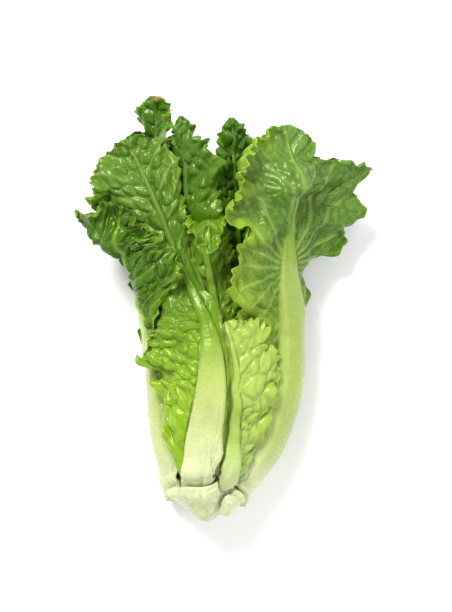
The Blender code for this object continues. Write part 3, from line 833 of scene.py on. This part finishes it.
def skin_lines(sheet):
    """Fine lines along and across the smooth part of the leaf."""
    wander = 0.8 * sheet.drift(sheet.along / 30, sheet.out / 4, 14)
    grooves = np.sin(2 * math.pi * sheet.out / GROOVE_PITCH + wander)
    wander = 2.5 * sheet.drift(sheet.along / 12, sheet.out / 5, 19)
    cross = np.sin(2 * math.pi * sheet.along / CROSS_PITCH + wander)
    smooth_skin = (1 - sheet.grown * sheet.off_rib) * smooth_step(0.0, 0.08, sheet.u) * (1 - sheet.u)
    return (0.07 * grooves + 0.05 * cross) * smooth_skin


def teeth(sheet, points):
    """How the saw teeth and notches of the margins move each point."""
    look = sheet.look
    outwards = unit(np.gradient(points, axis=1)) * np.sign(sheet.across)[..., None]
    upwards = unit(np.gradient(points, axis=0))
    outwards = unit(outwards + upwards * smooth_step(sheet.wing * 1.2 + 4, 0, sheet.tip)[..., None])
    saw = 2 * np.abs((sheet.line / TOOTH_PITCH + 0.5 * sheet.sway) % 1 - 0.5) - 0.5
    tooth = 1.9 * look.saw * saw + 1.2 * sheet.margin_drift(2.4, 15) + 2.4 * sheet.margin_drift(9.5, 16)
    tooth = fading(sheet.edge, TOOTH_REACH) * sheet.grown * (tooth - look.trim)
    return outwards * (tooth * look.frill)[..., None]


def leaf_colours(sheet, settings, vein, midrib, border, swell, rough):
    """A colour for each point: pale rib, green blade whose deep green is partly painted shade, lighter veins
    and margins, brown specks, and painted light and shade on the blisters.
    """
    look, u = sheet.look, sheet.u
    pale, bright = np.array(settings.rib_colour), np.array(settings.bright_colour)
    patch = sheet.skin_drift(17, 17, 17) * 0.5 + sheet.skin_drift(5, 5, 18) * 0.25
    green = sheet.off_rib * smooth_step(look.green_from - 0.2, look.green_from + 0.2, u + 0.06 * patch)
    green = np.maximum(green, smooth_step(look.rib_green_from - 0.05, look.rib_green_from + 0.2, u))
    green = np.maximum(green, look.rib_shade * smooth_step(0.0, 0.2, u)) * (not sheet.leaf.cut)
    # deep green up the blade, and also painted shade: on the front and inner front leaves it starts low and
    # covers the rib where they lie in shaded hollows
    deep_green_and_shade = look.depth * smooth_step(look.deep_green_and_shade_from - 0.3, look.deep_green_and_shade_from + 0.25, u + 0.1 * patch)
    deep_green_and_shade = deep_green_and_shade * (1 - look.rib_light * (1 - sheet.off_rib))
    base = np.broadcast_to(settings.base_colour, u.shape + (3,))
    colour = mixed(base, pale, smooth_step(0.0, 0.35, u) * (not sheet.leaf.cut))
    colour = mixed(colour, bright, green * (1 - look.pale))
    colour = mixed(colour, np.array(settings.deep_colour), deep_green_and_shade * green)
    glaucous = look.bloom * deep_green_and_shade * (0.6 + 0.5 * patch) * (0.15 + smooth_step(0.7, 0.95, u))
    colour = mixed(colour, np.array(settings.bloom_colour), glaucous)
    margin = sheet.by_wing(look.margins) * sheet.grown * smooth_step(2, 16, sheet.out)
    margin = margin * fading(sheet.edge, look.margin_reach) * 0.8
    colour = mixed(colour, np.array(settings.margin_colour), margin)
    light = np.clip(0.85 * vein + 0.5 * midrib + 0.3 * fading(border, 0.16) * rough, 0, 1)
    colour = mixed(colour, pale * 0.8 + bright * 0.2, light * 0.38 * look.vein * green)
    if sheet.leaf.cut:
        speck = 0.7 * smooth_step(0.55, 0.85, sheet.skin_drift(2.2, 1.7, 20))
    else:
        speck = smooth_step(-0.1, 0.5, sheet.skin_drift(3.1, 2.3, 20)) * fading(sheet.edge, 3.2)
    colour = mixed(colour, np.array(settings.rust_colour), look.rust * speck)
    # a random tone (patch), with painted light on the blisters' tops and painted shade in the hollows between
    # them (swell)
    return np.clip(colour * (1 + 0.14 * patch + 0.1 * (swell - 0.6) * rough)[..., None], 0, 1)


def leaf_detail(leaf, look, settings, points, room, half):
    """Moves the fine grid's points for ribs, frills, blisters, veins and teeth, and gives each a colour."""
    sheet = Sheet(leaf, look, points)
    room = np.stack([blurred(room[..., 0], ROOM_BLUR), blurred(room[..., 1], ROOM_BLUR)], axis=-1)
    if not leaf.cut:
        points, half = proud_rib(sheet, points, half, room)
    vein = veins(sheet)
    midrib = fading(sheet.out, 0.7 + 1.7 * (1 - sheet.u)) * smooth_step(0.25, 0.8, sheet.u)
    border, swell, swell_small = blisters(sheet, settings.blister_size / MM)
    rough = sheet.off_rib * smooth_step(0.05, 0.3, sheet.u - sheet.lively_from) * (1 - 0.6 * vein)
    rough = rough * smooth_step(-2, 5, sheet.edge)
    blister = rough * look.blister * settings.blister_height / MM
    lively = look.frill * sheet.grown * settings.frill_height / MM
    move = frills(sheet) * lively + blister * (swell - 0.5 + 0.22 * (swell_small - 0.5))
    move = move + look.vein * (0.55 * vein + 0.35 * midrib) + skin_lines(sheet)

    # each point keeps to its own share of the free height, and moves out where there is none within
    free_out, free_in = room[..., 0] * ROOM_SHARE + FINEST, room[..., 1] * ROOM_SHARE + FINEST
    swing = lively * (0.9 * fading(sheet.edge, 12) + 0.6 * sheet.off_rib) + 0.6 * blister
    move = move + np.clip(swing - free_in, 0, np.maximum(free_out - swing, 0))
    limit = np.where(move > 0, free_out, free_in)
    move = limit * np.tanh(move / limit)
    points = points + backs_of(points).reshape(points.shape) * move[..., None] + teeth(sheet, points)

    thin = np.minimum(half, HALF_BLADE) * smooth_step(-3, 5, sheet.edge)
    own = np.where(half > BLADE / 2 + 0.05, half - BLADE / 2 + 0.3, thin)
    return points, leaf_colours(sheet, settings, vein, midrib, border, swell, rough), own


SETTLED = {}  # what settled_leaves has worked out


def settled_leaves():
    """The leaves of the head after they have settled. It is worked out once."""
    if not SETTLED:
        leaves = all_leaves()
        grids, halves = settle(leaves)
        faces = [grid_triangles(leaf.rows, leaf.columns) for leaf in leaves]
        rooms = clearances(grids, halves, faces)
        SETTLED.update({leaf.name: made for leaf, *made in zip(leaves, grids, halves, rooms)})
        SETTLED["leaves"] = leaves
    return SETTLED


def head_shift():
    """How far the solids were moved to bring their box over the origin, in millimetres."""
    low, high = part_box("stem")
    return np.array([(low[0] + high[0]) / 2 / MM, low[1] / MM + 0.5, 0.0])


def feed(node, **inputs):
    """Sets or links a shader node's inputs, whose names are written here with underscores for spaces."""
    for name, value in inputs.items():
        socket = node.inputs[name.replace("_", " ")]
        if isinstance(value, bpy.types.NodeSocket):
            node.id_data.links.new(value, socket)
        else:
            socket.default_value = value
    return node


def add_node(tree, kind, **inputs):
    return feed(tree.nodes.new(kind), **inputs)


def arithmetic(tree, operation, first, second):
    """The result of a shader's sum on two linked values."""
    node = tree.nodes.new("ShaderNodeMath")
    node.operation = operation
    tree.links.new(first, node.inputs[0])
    tree.links.new(second, node.inputs[1])
    return node.outputs["Value"]


def new_material(name):
    made = bpy.data.materials.new(name)
    made.use_nodes = True
    return made, made.node_tree, made.node_tree.nodes["Principled BSDF"]


def leaf_material(name, settings):
    """Leaf colours from the piece's own attribute, with fine mottling, a waxy sheen and a pebbled skin."""
    made, tree, shader = new_material(name)
    colour = tree.nodes.new("ShaderNodeAttribute")
    colour.attribute_name = "leaf_colour"
    place = tree.nodes.new("ShaderNodeTexCoord").outputs["Object"]
    mottle = add_node(tree, "ShaderNodeTexNoise", Vector=place, Scale=420, Detail=4).outputs["Fac"]
    tone = add_node(tree, "ShaderNodeMapRange", Value=mottle, To_Min=0.87, To_Max=1.11)
    shade = tree.nodes.new("ShaderNodeVectorMath")
    shade.operation = "SCALE"
    feed(shade, Vector=colour.outputs["Color"], Scale=tone.outputs["Result"])
    sheen = add_node(tree, "ShaderNodeMapRange", Value=mottle)
    feed(sheen, To_Min=settings.roughness - 0.08, To_Max=settings.roughness + 0.12)
    pebble = add_node(tree, "ShaderNodeTexVoronoi", Vector=place, Scale=620)
    relief = arithmetic(tree, "ADD", pebble.outputs["Distance"], mottle)
    bump = add_node(tree, "ShaderNodeBump", Height=relief, Strength=0.18, Distance=0.0004)
    feed(
        shader, Base_Color=shade.outputs["Vector"], Roughness=sheen.outputs["Result"],
        Normal=bump.outputs["Normal"], Specular_IOR_Level=0.4, Specular_Tint=(0.8, 1.0, 0.5, 1.0),
        Subsurface_Weight=settings.translucency, Subsurface_Radius=(0.5, 1.0, 0.15),
        Subsurface_Scale=0.003,
    )
    return made


def object_of(name, shape):
    """Makes a bmesh an object of the scene, with smooth shading."""
    mesh = bpy.data.meshes.new(name)
    shape.to_mesh(mesh)
    shape.free()
    mesh.shade_smooth()
    made = bpy.data.objects.new(name, mesh)
    bpy.context.scene.collection.objects.link(made)
    return made


def sheet_object(name, points, colour):
    """A grid of points as an object, with a colour for each point."""
    rows, columns = points.shape[:2]
    flat = bmesh.new()
    bmesh.ops.create_grid(flat, x_segments=columns - 1, y_segments=rows - 1, size=1)
    made = object_of(name, flat)
    made.data.vertices.foreach_set("co", points.reshape(-1))
    made.data.update()
    paint = made.data.attributes.new("leaf_colour", "FLOAT_COLOR", "POINT")
    rgba = np.ones((rows * columns, 4))
    rgba[:, :3] = colour.reshape(-1, 3)
    paint.data.foreach_set("color", rgba.reshape(-1))
    return made


def thicken(made, half):
    """Gives a sheet its thickness, which differs from point to point."""
    thickest = float(half.max()) * 2
    group = made.vertex_groups.new(name="thickness")
    share = np.round(half.ravel() * 2 / thickest, 2)
    for value in np.unique(share):
        group.add(np.flatnonzero(share == value).tolist(), float(value), "REPLACE")
    shell = made.modifiers.new("thickness", "SOLIDIFY")
    shell.thickness = thickest * MM
    shell.offset = 0
    shell.vertex_group = group.name


def put_in_place(piece, node):
    """Puts a finished piece on the one body, in the place of its solid."""
    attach(piece, "root")
    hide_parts(node)


def leaf_piece(leaf, look, settings):
    """The finished sheet of one leaf."""
    grid, half, room = settled_leaves()[leaf.name]
    rows = leaf.rows * look.fineness[0] + 1
    columns = leaf.columns * look.fineness[1] + 1
    points = spread(grid, rows, columns)
    thick = spread(half, rows, columns)[..., 0]
    least = np.minimum.reduce([*neighbours(room), room])
    free = np.maximum(spread(least, rows, columns), 0)
    points, colour, thick = leaf_detail(leaf, look, settings, points, free, thick)
    points[..., 2] = np.maximum(points[..., 2], thick + 0.02)
    made = sheet_object(leaf.name + "_finish", (points + head_shift()) * MM, colour)
    thicken(made, thick)
    made.data.materials.append(leaf_material(leaf.name + "_skin", settings))
    put_in_place(made, leaf.name)


def length_setting(name, description, default):
    return bpy.props.FloatProperty(
        name=name, description=description, default=default, unit="LENGTH", subtype="DISTANCE",
    )


def share_setting(name, description, default):
    return bpy.props.FloatProperty(
        name=name, description=description, default=default, min=0, max=1, subtype="FACTOR",
    )


def colour_setting(name, description, default):
    return bpy.props.FloatVectorProperty(
        name=name, description=description, default=default, min=0, max=1, subtype="COLOR",
    )


class HeadSettings(bpy.types.PropertyGroup):
    """Sizes and colours of the head."""

    frill_height: length_setting("Frill height", "Height of the frills at the margins", 0.003)
    blister_height: length_setting("Blister height", "Height of the blisters between the veins", 0.0017)
    blister_size: length_setting("Blister size", "Width of one blister", 0.0075)
    roughness: share_setting("Roughness", "Roughness of the leaves' skin", 0.26)
    translucency: share_setting("Translucency", "How much light passes under the skin", 0.25)
    base_colour: colour_setting("Base", "Colour of the lowest part of the ribs", (0.58, 0.62, 0.36))
    rib_colour: colour_setting("Ribs", "Colour of the ribs", (0.40, 0.47, 0.14))
    bright_colour: colour_setting("Bright green", "Colour of the lower blades", (0.21, 0.36, 0.010))
    deep_colour: colour_setting("Deep green", "Colour of the upper blades", (0.038, 0.115, 0.001))
    bloom_colour: colour_setting("Bloom", "Waxy blue-green on the backs of the blades", (0.11, 0.205, 0.045))
    margin_colour: colour_setting("Margins", "Colour of the brightest margins", (0.27, 0.41, 0.025))
    rust_colour: colour_setting("Rust", "Colour of the brown specks and margins", (0.20, 0.10, 0.03))


class StageSettings(bpy.types.PropertyGroup):
    """Light and floor."""

    lens: bpy.props.FloatProperty(
        name="Lens", description="Focal length in millimetres", default=147.0, min=1,
    )
    light: bpy.props.FloatProperty(
        name="Light", description="Strength of the light from all round", default=0.73, min=0,
    )
    lamp: bpy.props.FloatProperty(
        name="Lamp", description="Power of the soft lamp", default=22.0, min=0, unit="POWER",
    )
    floor_colour: colour_setting("Floor", "Colour of the floor", (0.94, 0.94, 0.94))


class LETTUCE_OT_outer_leaves(bpy.types.Operator):
    """Finishes the leaves that can be seen from outside"""

    bl_idname = "lettuce.outer_leaves"
    bl_label = "Outer Leaves"

    def execute(self, context):
        for leaf in settled_leaves()["leaves"]:
            if leaf.name in LOOKS:
                leaf_piece(leaf, LOOKS[leaf.name], context.scene.lettuce_head)
        return {"FINISHED"}


class LETTUCE_OT_heart_leaves(bpy.types.Operator):
    """Finishes the small pale leaves in the middle"""

    bl_idname = "lettuce.heart_leaves"
    bl_label = "Heart Leaves"

    def execute(self, context):
        for leaf in settled_leaves()["leaves"]:
            if leaf.name.startswith("heart"):
                leaf_piece(leaf, LOOKS["heart"], context.scene.lettuce_head)
        return {"FINISHED"}


class LETTUCE_OT_cut_bases(bpy.types.Operator):
    """Finishes the bases of the leaves that were cut off"""

    bl_idname = "lettuce.cut_bases"
    bl_label = "Cut Leaf Bases"

    def execute(self, context):
        for leaf in settled_leaves()["leaves"]:
            if leaf.cut:
                leaf_piece(leaf, LOOKS["cut_base"], context.scene.lettuce_head)
        return {"FINISHED"}


class LETTUCE_OT_stem(bpy.types.Operator):
    """Makes the trimmed stem, with its knife cuts"""

    bl_idname = "lettuce.stem"
    bl_label = "Stem"

    def execute(self, context):
        turned = bmesh.new()
        points = [(0.0, STEM_LENGTH + 1.0)]
        points += [(radius, y) for y, radius in reversed(STEM_OUTLINE)]
        points += [(0.0, -0.5)]
        vertices = [turned.verts.new((radius, y, 0)) for radius, y in points]
        edges = [turned.edges.new(pair) for pair in zip(vertices, vertices[1:])]
        bmesh.ops.subdivide_edges(turned, edges=edges, cuts=RING_CUTS)
        bmesh.ops.spin(
            turned, geom=turned.verts[:] + turned.edges[:], cent=(0, 0, 0), axis=(0, 1, 0),
            angle=math.tau, steps=SPIN_STEPS, use_merge=True,
        )
        bmesh.ops.remove_doubles(turned, verts=turned.verts, dist=0.001)
        bmesh.ops.recalc_face_normals(turned, faces=turned.faces)
        shift = Vector(head_shift()) + Vector((0, 0, STEM_HEIGHT))
        for vertex in turned.verts:
            trim(vertex)
            vertex.co = (vertex.co + shift) * MM
        made = object_of("stem_finish", turned)
        made.data.materials.append(stem_material(context.scene.lettuce_head))
        put_in_place(made, "stem")
        return {"FINISHED"}


def trim(vertex):
    """Moves a point of the stem back to the knife cuts that it stands proud of."""
    for facing, distance in KNIFE_CUTS:
        normal = Vector(facing).normalized()
        proud = (vertex.co - Vector(TRIM_MIDDLE)).dot(normal) - distance
        if proud > 0:
            vertex.co -= normal * proud
    angle = math.atan2(vertex.co.z, vertex.co.x)
    ripple = 1 + 0.012 * math.sin(5 * angle + vertex.co.y / 3) + 0.008 * math.sin(13 * angle)
    vertex.co.x *= ripple
    vertex.co.z *= ripple


def stem_material(settings):
    """Pale cut tissue with fine lengthwise fibres and a few brown specks on the cut end."""
    made, tree, shader = new_material("stem_skin")
    place = tree.nodes.new("ShaderNodeTexCoord").outputs["Object"]
    stretch = add_node(tree, "ShaderNodeMapping", Vector=place, Scale=(1, 0.18, 1))
    fibre = add_node(tree, "ShaderNodeTexNoise", Vector=stretch.outputs["Vector"], Scale=520, Detail=5)
    tissue = add_node(tree, "ShaderNodeValToRGB", Fac=fibre.outputs["Fac"])
    tissue.color_ramp.elements[0].color = (0.50, 0.52, 0.28, 1)
    tissue.color_ramp.elements[1].color = (0.68, 0.70, 0.50, 1)
    tissue.color_ramp.elements[0].position = 0.3
    tissue.color_ramp.elements[1].position = 0.7
    speck = add_node(tree, "ShaderNodeTexNoise", Vector=place, Scale=260, Detail=3)
    mask = add_node(tree, "ShaderNodeMapRange", Value=speck.outputs["Fac"], From_Min=0.62, From_Max=0.72)
    height = add_node(tree, "ShaderNodeSeparateXYZ", Vector=place).outputs["Y"]
    butt = float(head_shift()[1])
    low = add_node(tree, "ShaderNodeMapRange", Value=height)
    feed(low, From_Min=(butt + 6) * MM, From_Max=(butt + 1) * MM)
    brown = tree.nodes.new("ShaderNodeMix")
    brown.data_type = "RGBA"
    browned = arithmetic(tree, "MULTIPLY", mask.outputs["Result"], low.outputs["Result"])
    feed(brown, Factor=browned, A=tissue.outputs["Color"], B=(0.35, 0.20, 0.06, 1))
    bump = add_node(tree, "ShaderNodeBump", Height=fibre.outputs["Fac"], Strength=0.35, Distance=0.0005)
    feed(
        shader, Base_Color=brown.outputs["Result"], Roughness=0.45, Normal=bump.outputs["Normal"],
        Subsurface_Weight=settings.translucency, Subsurface_Radius=(1.0, 1.0, 0.4),
        Subsurface_Scale=0.004,
    )
    return made


class LETTUCE_OT_stage(bpy.types.Operator):
    """Adds the floor, the lights and a camera that looks straight down"""

    bl_idname = "lettuce.stage"
    bl_label = "Stage"

    def execute(self, context):
        stage = context.scene.lettuce_stage
        add_floor(stage.floor_colour)
        world = bpy.data.worlds.new("studio")
        world.use_nodes = True
        feed(world.node_tree.nodes["Background"], Color=(1, 1, 1, 1), Strength=stage.light)
        context.scene.world = world
        context.scene.view_settings.view_transform = "Standard"
        for name, place, power, size in LAMPS:
            lamp = bpy.data.lights.new(name, "AREA")
            lamp.energy = stage.lamp * power
            lamp.size = size
            made = place_object(name, lamp, place)
            aim = Vector(LIT_POINT) - Vector(place)
            made.rotation_euler = aim.to_track_quat("-Z", "Y").to_euler()
        add_camera(stage.lens)
        return {"FINISHED"}


def place_object(name, data, place):
    made = bpy.data.objects.new(name, data)
    made.location = place
    bpy.context.scene.collection.objects.link(made)
    return made


def add_floor(floor_colour):
    """A plain floor just under the head."""
    flat = bmesh.new()
    bmesh.ops.create_grid(flat, x_segments=1, y_segments=1, size=FLOOR_HALF)
    for vertex in flat.verts:
        vertex.co.z = FLOOR_HEIGHT
    floor = object_of("floor", flat)
    paint, _, shader = new_material("floor_paint")
    feed(shader, Base_Color=(*floor_colour, 1), Roughness=1.0)
    floor.data.materials.append(paint)


def add_camera(lens):
    """A camera over the head that shows it as large as the photograph does, and in the same place."""
    shift = head_shift()
    middle = (
        ((PICTURE[0] / 2 - BUTT_PIXEL[0]) * MM_A_PIXEL + shift[0]) * MM,
        ((BUTT_PIXEL[1] - PICTURE[1] / 2) * MM_A_PIXEL + shift[1]) * MM,
    )
    camera = bpy.data.cameras.new("camera")
    camera.lens = lens
    camera.sensor_fit = "VERTICAL"
    camera.sensor_height = 36
    bpy.context.scene.camera = place_object("camera", camera, (*middle, CAMERA_HEIGHT))


class LETTUCE_PT_panel(bpy.types.Panel):
    """Lists the steps and the settings"""

    bl_label = "Romaine Heart"
    bl_idname = "LETTUCE_PT_panel"
    bl_space_type = "VIEW_3D"
    bl_region_type = "UI"
    bl_category = "Romaine"

    def draw(self, context):
        column = self.layout.column()
        for step in STEPS:
            column.operator(step.bl_idname)
        for settings in (context.scene.lettuce_head, context.scene.lettuce_stage):
            for name in settings.__annotations__:
                column.prop(settings, name)


STEPS = (
    LETTUCE_OT_stem,
    LETTUCE_OT_cut_bases,
    LETTUCE_OT_outer_leaves,
    LETTUCE_OT_heart_leaves,
    LETTUCE_OT_stage,
)
CLASSES = (HeadSettings, StageSettings, *STEPS, LETTUCE_PT_panel)


def register():
    for item in CLASSES:
        bpy.utils.register_class(item)
    bpy.types.Scene.lettuce_head = bpy.props.PointerProperty(type=HeadSettings)
    bpy.types.Scene.lettuce_stage = bpy.props.PointerProperty(type=StageSettings)


def unregister():
    del bpy.types.Scene.lettuce_stage
    del bpy.types.Scene.lettuce_head
    for item in reversed(CLASSES):
        bpy.utils.unregister_class(item)


def main():
    register()
    bpy.ops.lettuce.stem()
    bpy.ops.lettuce.cut_bases()
    bpy.ops.lettuce.outer_leaves()
    bpy.ops.lettuce.heart_leaves()
    bpy.ops.lettuce.stage()


if __name__ == "__main__":
    main()
